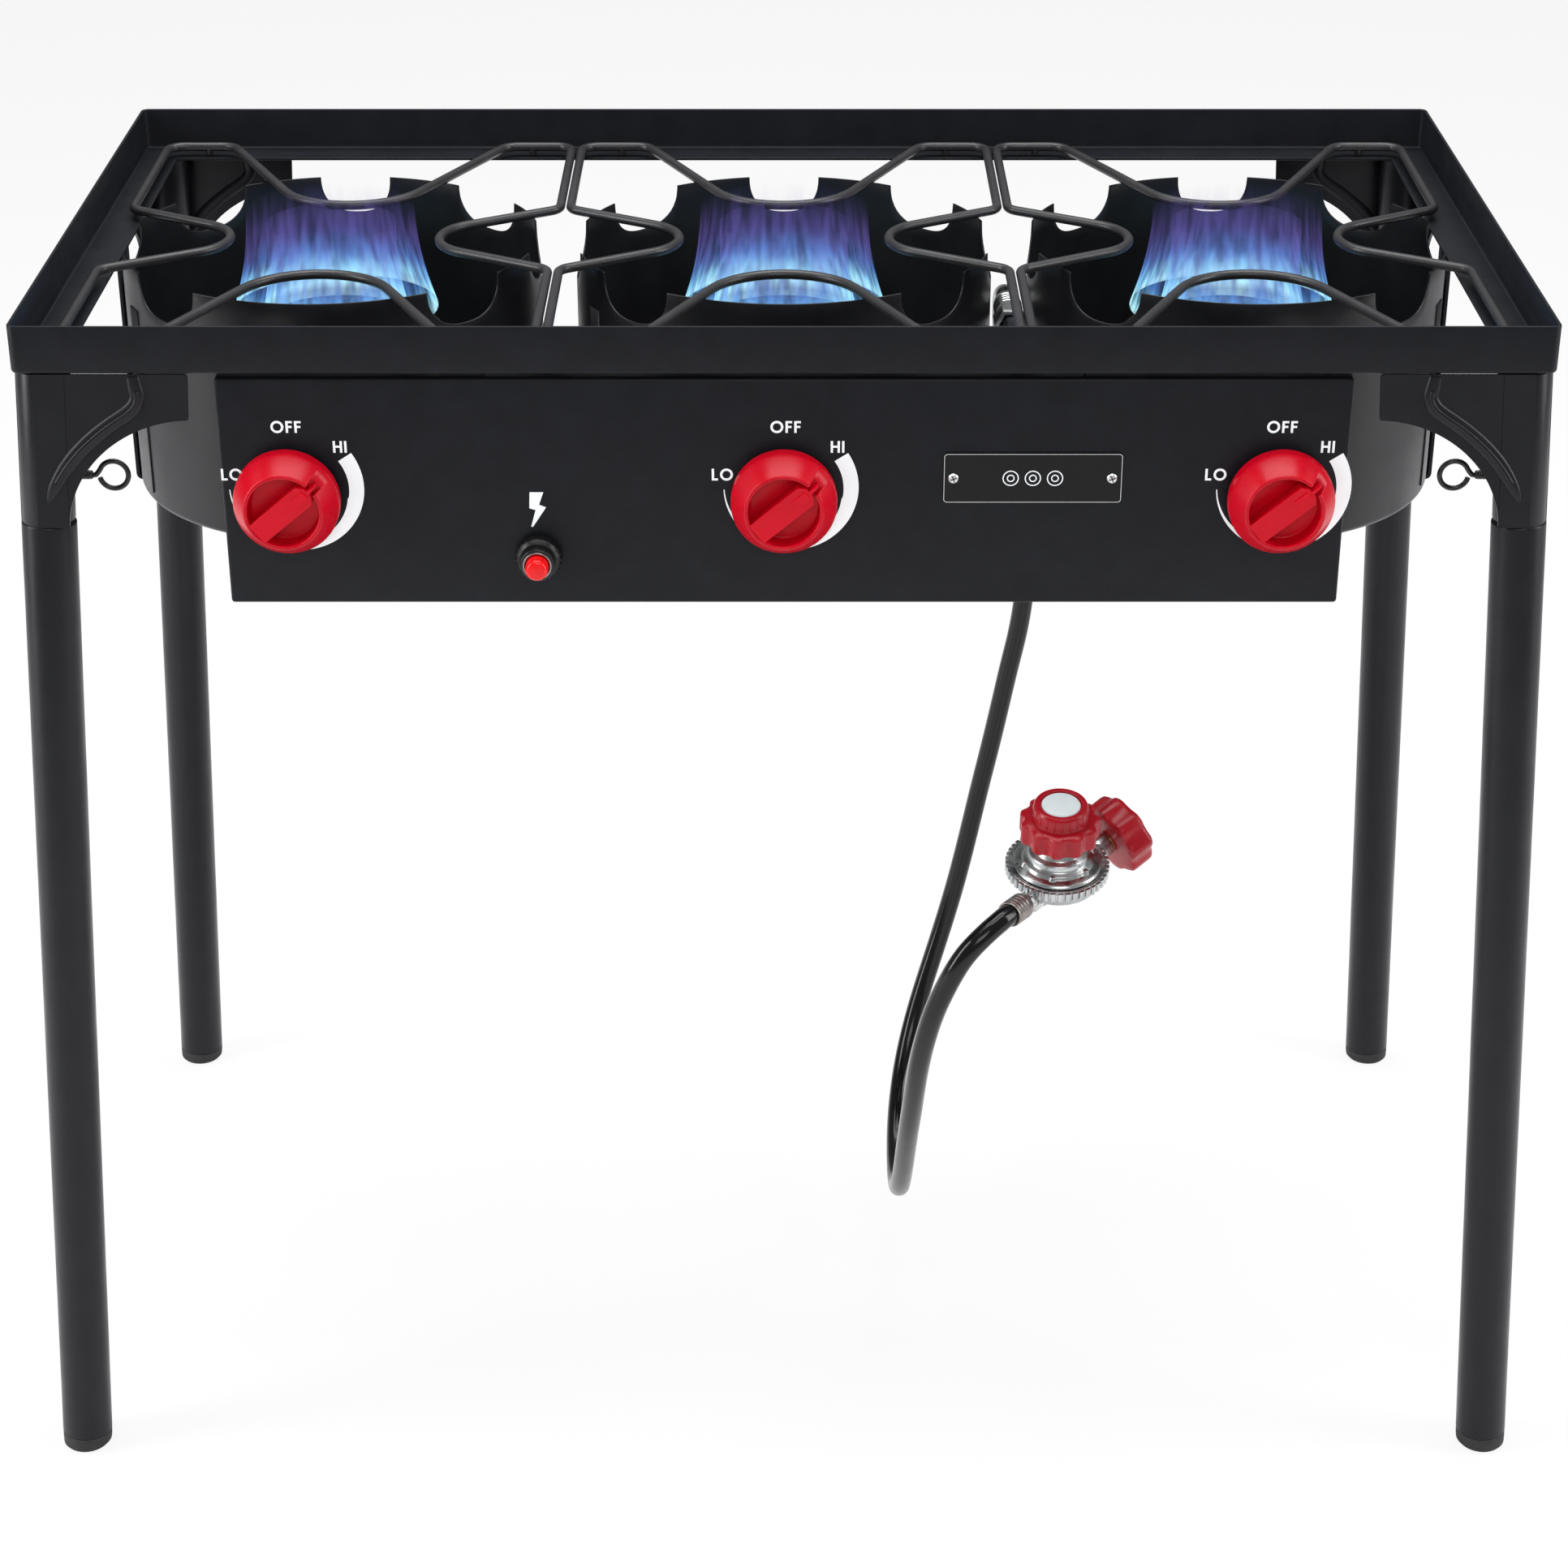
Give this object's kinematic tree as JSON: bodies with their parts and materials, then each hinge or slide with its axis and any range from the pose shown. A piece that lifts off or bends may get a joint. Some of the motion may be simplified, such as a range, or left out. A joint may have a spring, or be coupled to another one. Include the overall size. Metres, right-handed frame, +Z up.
{
  "type": "three-burner propane stand",
  "caption": "Free-standing propane burner stand with rod grates in an angle-iron tray, crowned wind shields, splayed tube legs, knob panel, hose and regulator.",
  "frame": {"origin": "floor level, in the middle of the footprint", "axes": "+X along the row of burners, towards the stand's right as seen from the knobs; -Y towards the knobs and the user; +Z up"},
  "size_m": [0.935, 0.5042, 0.7525],
  "materials": {
    "black_steel": "satin powder coat",
    "shield_black": "satin heat-proof enamel",
    "grate_black": "satin heat-proof enamel",
    "cast_iron": "rough",
    "brass": "satin",
    "steel": "bright",
    "zinc": "bright zinc plate",
    "red_plastic": "semi-gloss",
    "red_button": "gloss",
    "white_plastic": "satin",
    "black_plastic": "satin",
    "rubber": "smooth",
    "ceramic": "glazed"
  },
  "bodies": {
    "stand": {"top_frame": "black_steel", "corner_bracket_front_left": "black_steel", "corner_bracket_front_right": "black_steel", "corner_bracket_back_left": "black_steel", "corner_bracket_back_right": "black_steel", "wind_shield_left": "shield_black", "burner_head_left": "cast_iron", "mixer_tube_left": "cast_iron", "igniter_electrode_left": "ceramic", "gas_valve_left": "brass", "wind_shield_middle": "shield_black", "burner_head_middle": "cast_iron", "mixer_tube_middle": "cast_iron", "igniter_electrode_middle": "ceramic", "gas_valve_middle": "brass", "wind_shield_right": "shield_black", "burner_head_right": "cast_iron", "mixer_tube_right": "cast_iron", "igniter_electrode_right": "ceramic", "gas_valve_right": "brass", "burner_cross_rail": "black_steel", "control_panel": "black_steel", "gas_manifold": "black_steel", "hose_swivel_nut": "zinc", "gas_hose": "rubber", "hose_ferrule": "zinc", "regulator_body": "zinc", "regulator_bonnet": "zinc", "tank_connector_nipple": "brass", "igniter_body": "black_plastic", "igniter_nut": "black_plastic", "nameplate": "black_plastic", "nameplate_rivet_left": "steel", "nameplate_rivet_right": "steel"},
    "knob_left": {"knob_left": "red_plastic", "valve_stem_left": "brass"},
    "grate_left": {"grate_left": "grate_black"},
    "knob_middle": {"knob_middle": "red_plastic", "valve_stem_middle": "brass"},
    "grate_middle": {"grate_middle": "grate_black"},
    "knob_right": {"knob_right": "red_plastic", "valve_stem_right": "brass"},
    "grate_right": {"grate_right": "grate_black"},
    "leg_front_left": {"leg_front_left": "black_steel", "foot_cap_front_left": "rubber"},
    "lock_screw_front_left": {"leg_lock_screw_front_left": "black_steel"},
    "leg_front_right": {"leg_front_right": "black_steel", "foot_cap_front_right": "rubber"},
    "lock_screw_front_right": {"leg_lock_screw_front_right": "black_steel"},
    "leg_back_left": {"leg_back_left": "black_steel", "foot_cap_back_left": "rubber"},
    "lock_screw_back_left": {"leg_lock_screw_back_left": "black_steel"},
    "leg_back_right": {"leg_back_right": "black_steel", "foot_cap_back_right": "rubber"},
    "lock_screw_back_right": {"leg_lock_screw_back_right": "black_steel"},
    "igniter_button": {"igniter_button": "red_button"},
    "regulator_knob": {"regulator_knob": "red_plastic", "regulator_cap_disc": "white_plastic"},
    "tank_nut": {"tank_connector_nut": "red_plastic"}
  },
  "joints": [
    {"name": "knob_left_turn", "type": "hinge", "parent": "stand", "child": "knob_left", "pos_m": [-0.2805, -0.2172, 0.6505], "axis": [0, -1, 0], "range_deg": [-310, 0]},
    {"name": "knob_middle_turn", "type": "hinge", "parent": "stand", "child": "knob_middle", "pos_m": [0, -0.2172, 0.6505], "axis": [0, -1, 0], "range_deg": [-310, 0]},
    {"name": "knob_right_turn", "type": "hinge", "parent": "stand", "child": "knob_right", "pos_m": [0.2805, -0.2172, 0.6505], "axis": [0, -1, 0], "range_deg": [-310, 0]},
    {"name": "grate_left_lift", "type": "slide", "parent": "stand", "child": "grate_left", "axis": [0, 0, 1], "range_m": [0, 0.1]},
    {"name": "grate_middle_lift", "type": "slide", "parent": "stand", "child": "grate_middle", "axis": [0, 0, 1], "range_m": [0, 0.1]},
    {"name": "grate_right_lift", "type": "slide", "parent": "stand", "child": "grate_right", "axis": [0, 0, 1], "range_m": [0, 0.1]},
    {"name": "leg_front_left_pull", "type": "slide", "parent": "stand", "child": "leg_front_left", "axis": [-0.0518, -0.0443, -0.9977], "range_m": [0, 0.082]},
    {"name": "lock_screw_front_left_turn", "type": "hinge", "parent": "stand", "child": "lock_screw_front_left", "pos_m": [-0.41802, -0.20754, 0.6601], "axis": [-1, 0, 0], "continuous": true},
    {"name": "leg_front_right_pull", "type": "slide", "parent": "stand", "child": "leg_front_right", "axis": [0.0518, -0.0443, -0.9977], "range_m": [0, 0.082]},
    {"name": "lock_screw_front_right_turn", "type": "hinge", "parent": "stand", "child": "lock_screw_front_right", "pos_m": [0.41802, -0.20754, 0.6601], "axis": [1, 0, 0], "continuous": true},
    {"name": "leg_back_left_pull", "type": "slide", "parent": "stand", "child": "leg_back_left", "axis": [-0.0518, 0.0443, -0.9977], "range_m": [0, 0.082]},
    {"name": "lock_screw_back_left_turn", "type": "hinge", "parent": "stand", "child": "lock_screw_back_left", "pos_m": [-0.41802, 0.20754, 0.6601], "axis": [-1, 0, 0], "continuous": true},
    {"name": "leg_back_right_pull", "type": "slide", "parent": "stand", "child": "leg_back_right", "axis": [0.0518, 0.0443, -0.9977], "range_m": [0, 0.082]},
    {"name": "lock_screw_back_right_turn", "type": "hinge", "parent": "stand", "child": "lock_screw_back_right", "pos_m": [0.41802, 0.20754, 0.6601], "axis": [1, 0, 0], "continuous": true},
    {"name": "igniter_press", "type": "slide", "parent": "stand", "child": "igniter_button", "axis": [0, 1, 0], "range_m": [0, 0.004]},
    {"name": "regulator_knob_turn", "type": "hinge", "parent": "stand", "child": "regulator_knob", "pos_m": [0.168, -0.17, 0.388], "axis": [0, -0.1822, 0.9833], "continuous": true},
    {"name": "tank_nut_turn", "type": "hinge", "parent": "stand", "child": "tank_nut", "pos_m": [0.208, -0.13952, 0.39365], "axis": [0.7612, 0.5328, 0.3697], "continuous": true}
  ]
}
